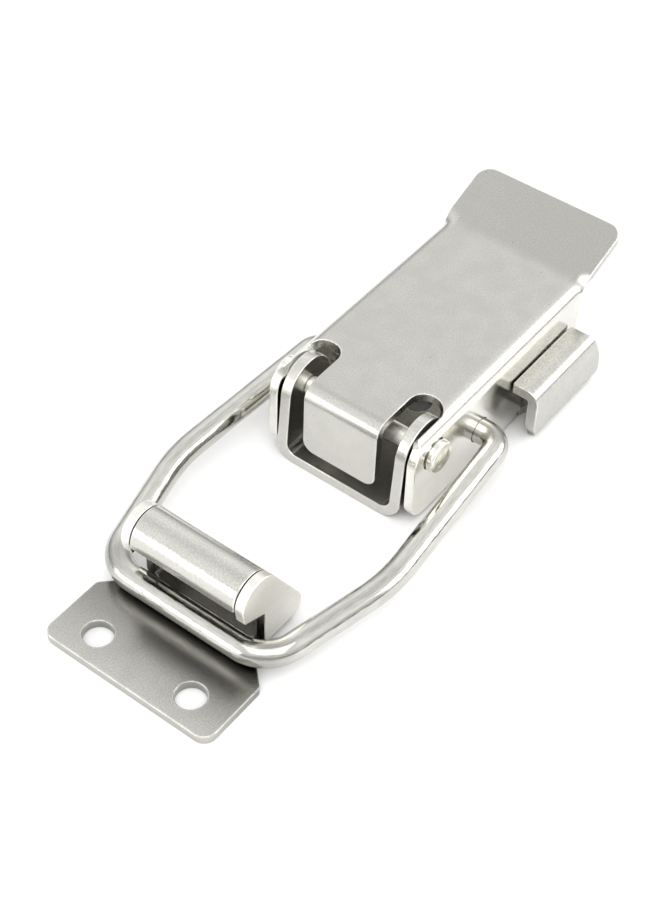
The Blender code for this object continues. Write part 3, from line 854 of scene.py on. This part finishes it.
class Nodes:
    """The nodes of one material."""

    def __init__(self, name):
        self.material = bpy.data.materials.new(name)
        self.material.use_nodes = True
        self.tree = self.material.node_tree
        self.shader = self.tree.nodes["Principled BSDF"]

    def add(self, kind, output, inputs, **settings):
        """Add a node, give its inputs values or links, and return one of its outputs."""
        node = self.tree.nodes.new(kind)
        for key, value in settings.items():
            setattr(node, key, value)
        for key, value in inputs.items():
            self.feed(node.inputs[key], value)
        return node.outputs[output]

    def feed(self, socket, value):
        """Link an input to another node's output, or set its value."""
        if isinstance(value, bpy.types.NodeSocket):
            self.tree.links.new(value, socket)
        else:
            socket.default_value = value

    def math(self, operation, first, second):
        """An arithmetic operation on two numbers."""
        return self.add("ShaderNodeMath", 0, {0: first, 1: second}, operation=operation)

    def ranged(self, value, start, end, at_start, at_end):
        """A number that eases from one result to another as the value crosses a range."""
        inputs = {0: value, 1: start, 2: end, 3: at_start, 4: at_end}
        return self.add("ShaderNodeMapRange", 0, inputs, interpolation_type="SMOOTHSTEP")

    def mixed(self, factor, first, second):
        """A colour between two others."""
        return self.add("ShaderNodeMix", 2, {0: factor, 6: first, 7: second}, data_type="RGBA")

    def noise(self, place, per_mm, stretch=(1, 1, 1), detail=3, turn=0):
        """Noise in the flat sheet's millimetres, longer along the axes with a small stretch."""
        turned = self.add("ShaderNodeMapping", 0, {"Vector": place, "Rotation": (0, 0, turn)})
        scaled = self.add("ShaderNodeMapping", 0, {"Vector": turned, "Scale": stretch})
        inputs = {"Vector": scaled, "Scale": per_mm, "Detail": detail}
        return self.add("ShaderNodeTexNoise", 0, inputs)


def steel(name, stretch, grit, waviness, painted_shade_keep):
    """Bare steel, with the grey and the roughness that the mesh's finish attribute gives.

    Grit and waviness are heights in millimetres, and the last argument is how much of its
    brightness the steel keeps where shade is painted deep into a hollow.
    """
    nodes = Nodes(name)
    place = nodes.add("ShaderNodeAttribute", "Vector", {}, attribute_name="grain")
    pair = nodes.add("ShaderNodeAttribute", "Vector", {}, attribute_name="finish")
    grey = nodes.add("ShaderNodeSeparateXYZ", 0, {0: pair})
    rough = nodes.add("ShaderNodeSeparateXYZ", 1, {0: pair})
    fine = nodes.noise(place, GRIT_PER_MM, stretch)
    clouds = nodes.noise(place, CLOUDS_PER_MM, detail=5)
    waves = nodes.noise(place, WAVES_PER_MM, detail=1)

    hair = nodes.noise(place, SCRATCH_PER_MM, SCRATCH_STRETCH, detail=1, turn=SCRATCH_TURN)
    beside = nodes.math("ABSOLUTE", nodes.math("SUBTRACT", hair, 0.5), 0)
    line = nodes.ranged(beside, 0, SCRATCH_WIDTH, 1, 0)
    somewhere = nodes.ranged(nodes.noise(place, CLOUDS_PER_MM / 2), *SCRATCHED)
    scratch = nodes.math("MULTIPLY", line, somewhere)
    cell = nodes.add("ShaderNodeTexVoronoi", "Distance", {"Vector": place, "Scale": PITS_PER_MM})
    pit = nodes.ranged(cell, PIT_SIZE / 2, PIT_SIZE, 1, 0)

    normal = nodes.add("ShaderNodeNewGeometry", "Normal", {})
    softened = nodes.add("ShaderNodeBevel", 0, {"Radius": WEAR_WIDTH * MM}, samples=4)
    facing = nodes.add("ShaderNodeVectorMath", "Value", {0: normal, 1: softened},
                       operation="DOT_PRODUCT")
    edge = nodes.math("MULTIPLY", nodes.ranged(facing, *TURN_TO_WEAR),
                      nodes.ranged(clouds, *CLOUDS_TO_WEAR))

    worn = nodes.add("ShaderNodeMix", 0,
                     {0: nodes.math("MULTIPLY", edge, WEAR), 2: grey, 3: WORN_GREY})
    tone = nodes.math("MULTIPLY", nodes.ranged(clouds, *CLOUDS_TO_TONE),
                      nodes.ranged(fine, *GRIT_TO_TONE))
    tone = nodes.math("MULTIPLY", tone, nodes.ranged(pit, 0, 1, 1, PIT_GREY))
    # painted shade: ambient occlusion darkens the colour in hollows and between parts
    shade_occlusion = nodes.add("ShaderNodeAmbientOcclusion", "AO", {"Distance": PAINTED_SHADE_REACH * MM}, samples=6)
    tone = nodes.math("MULTIPLY", tone, nodes.ranged(shade_occlusion, *OCCLUSION_TO_PAINTED_SHADE, painted_shade_keep, 1))
    colour = nodes.mixed(nodes.math("MULTIPLY", tone, worn), (0, 0, 0, 1), TINT)
    nodes.feed(nodes.shader.inputs["Base Color"], colour)
    nodes.shader.inputs["Metallic"].default_value = 1.0

    rough = nodes.math("MULTIPLY", rough, nodes.ranged(clouds, *CLOUDS_TO_ROUGHNESS))
    rough = nodes.math("ADD", rough, nodes.math("MULTIPLY", scratch, SCRATCH_ROUGHNESS))
    rough = nodes.math("SUBTRACT", rough, nodes.math("MULTIPLY", edge, WORN_POLISH))
    nodes.feed(nodes.shader.inputs["Roughness"], rough)

    dents = nodes.add("ShaderNodeBump", 0, {"Height": waves, "Distance": waviness * MM})
    missing = nodes.math("ADD", nodes.math("MULTIPLY", scratch, SCRATCH_DEPTH), pit)
    inputs = {"Height": nodes.math("SUBTRACT", fine, missing), "Distance": grit * MM,
              "Normal": dents}
    nodes.feed(nodes.shader.inputs["Normal"], nodes.add("ShaderNodeBump", 0, inputs))
    return nodes.material


# ---------------------------------------------------------------- stage

def add_camera():
    """The camera, at the photograph's height, bearing and distance."""
    ahead = (Vector(AIM) - Vector(EYE)).normalized()
    level = ahead.cross(Vector((0, 0, 1))).normalized()
    lift = level.cross(ahead)
    right = math.cos(CAMERA_ROLL) * level + math.sin(CAMERA_ROLL) * lift
    up = math.cos(CAMERA_ROLL) * lift - math.sin(CAMERA_ROLL) * level
    data = bpy.data.cameras.new("camera")
    data.sensor_fit = "HORIZONTAL"
    data.sensor_width = SENSOR
    data.lens = LENS
    data.clip_start = NEAREST
    camera = bpy.data.objects.new("camera", data)
    pose = Matrix((right, up, -ahead)).transposed().to_4x4()
    pose.translation = Vector(EYE) * MM
    camera.matrix_world = pose
    bpy.context.scene.collection.objects.link(camera)
    bpy.context.scene.camera = camera


def add_floor():
    """A plain pale floor."""
    mesh = bpy.data.meshes.new("floor")
    reach = FLOOR_REACH
    corners = [(-reach, -reach, 0), (reach, -reach, 0), (reach, reach, 0), (-reach, reach, 0)]
    mesh.from_pydata(corners, [], [(0, 1, 2, 3)])
    floor = bpy.data.objects.new("floor", mesh)
    bpy.context.scene.collection.objects.link(floor)
    nodes = Nodes("pale_floor")
    nodes.shader.inputs["Base Color"].default_value = (FLOOR_GREY, FLOOR_GREY, FLOOR_GREY, 1)
    nodes.shader.inputs["Roughness"].default_value = FLOOR_ROUGHNESS
    mesh.materials.append(nodes.material)
    floor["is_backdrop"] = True


def add_softbox(name, azimuth, elevation, away, size, brightness):
    """A lit panel facing the latch, with angles in degrees and sizes in metres."""
    turn, lift = math.radians(azimuth), math.radians(elevation)
    level = Vector((math.cos(turn), math.sin(turn), 0))
    way = level * math.cos(lift) + Vector((0, 0, math.sin(lift)))
    data = bpy.data.lights.new(name, "AREA")
    data.shape = "RECTANGLE"
    data.size, data.size_y = size
    data.energy = brightness * math.pi * size[0] * size[1]
    light = bpy.data.objects.new(name, data)
    light.location = way * away
    light.rotation_euler = way.to_track_quat("Z", "Y").to_euler()
    bpy.context.scene.collection.objects.link(light)


def add_world():
    """A studio tent: dim at the horizon, brightest half way up, softer overhead."""
    world = bpy.data.worlds.new("studio")
    bpy.context.scene.world = world
    world.use_nodes = True
    tree = world.node_tree
    place = tree.nodes.new("ShaderNodeTexCoord")
    split = tree.nodes.new("ShaderNodeSeparateXYZ")
    ramp = tree.nodes.new("ShaderNodeValToRGB")
    tree.links.new(place.outputs["Generated"], split.inputs[0])
    tree.links.new(split.outputs["Z"], ramp.inputs[0])
    tree.links.new(ramp.outputs[0], tree.nodes["Background"].inputs["Color"])
    tree.nodes["Background"].inputs["Strength"].default_value = TENT_BRIGHTNESS
    stops = ramp.color_ramp.elements
    while len(stops) < len(TENT):
        stops.new(0.5)
    for stop, (height, level) in zip(stops, TENT):
        stop.position = height
        stop.color = (level, level, level, 1)


def dress(piece, materials, node, body):
    """Give a piece its materials and hand it to the frame in a CAD node's place."""
    for material in materials:
        piece.data.materials.append(material)
    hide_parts(node)
    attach(piece, body)


def main():
    """Set the stage, then build and dress the five pieces."""
    bpy.context.scene.view_settings.view_transform = "Standard"
    add_camera()
    add_floor()
    add_world()
    for softbox in SOFTBOXES:
        add_softbox(*softbox)
    cut_edge = steel("cut_edge", *CUT_STEEL)
    dress(fold_sheet("frame_sheet", FRAME_SHEET, *frame_blank()),
          [steel("frame_finish", *FRAME_STEEL), cut_edge], "frame", "frame")
    dress(fold_sheet("lever_sheet", LEVER_SHEET, *lever_blank()),
          [steel("lever_finish", *LEVER_STEEL), cut_edge], "lever", "lever")
    dress(fold_sheet("keeper_sheet", KEEPER_SHEET, *keeper_blank()),
          [steel("keeper_finish", *KEEPER_STEEL), cut_edge], "keeper", "keeper")
    dress(make_wire(),
          [steel("wire_finish", *WIRE_STEEL)], "bail", "bail")
    dress(make_rivet(),
          [steel("rivet_finish", *RIVET_STEEL)], "pivot_rivet", "frame")


main()
look_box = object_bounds()
[[list(point) for point in box] for box in (cad_box, look_box)]
